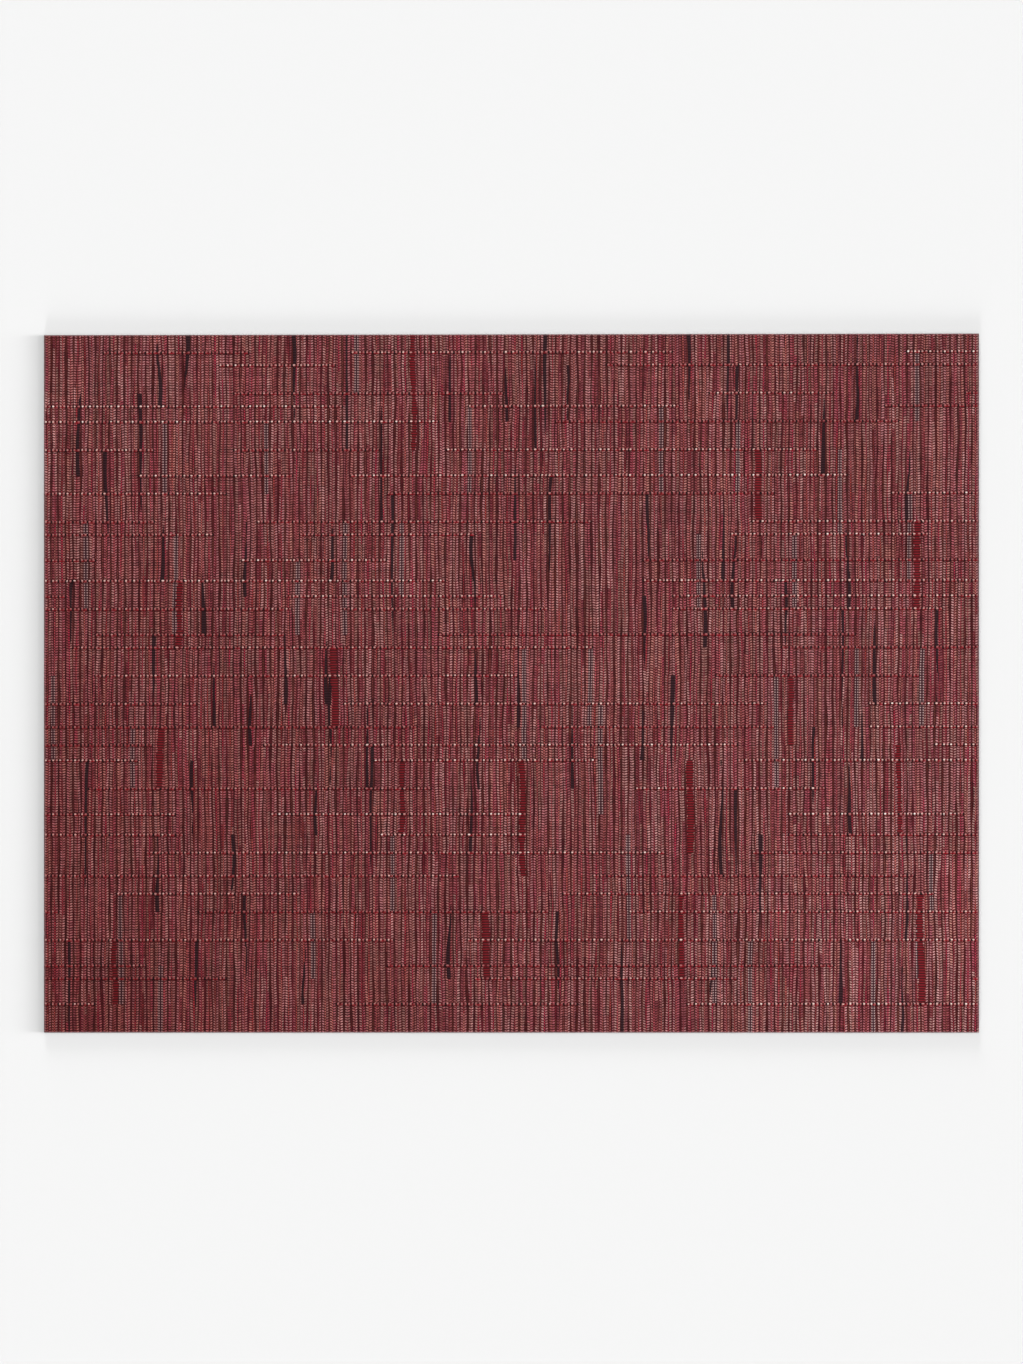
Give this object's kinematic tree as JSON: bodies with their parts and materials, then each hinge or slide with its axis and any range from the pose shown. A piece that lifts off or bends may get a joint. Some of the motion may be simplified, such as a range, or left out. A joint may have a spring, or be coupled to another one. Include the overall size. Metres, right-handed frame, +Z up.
{
  "type": "woven placemat",
  "caption": "Rectangular table mat of flat woven cloth with fine lengthwise ribs and plain cut edges, lying flat.",
  "frame": {"origin": "centre of the underside, where the mat lies on the table", "axes": "+X along the long side, across the ribs; +Y along the ribs, towards the back edge; +Z up"},
  "size_m": [0.48, 0.3588, 0.0015],
  "materials": {
    "woven_yarn": "satin woven synthetic yarn in mixed dark reds, plums and pinks"
  },
  "bodies": {
    "root": {"mat": "woven_yarn"}
  },
  "joints": []
}
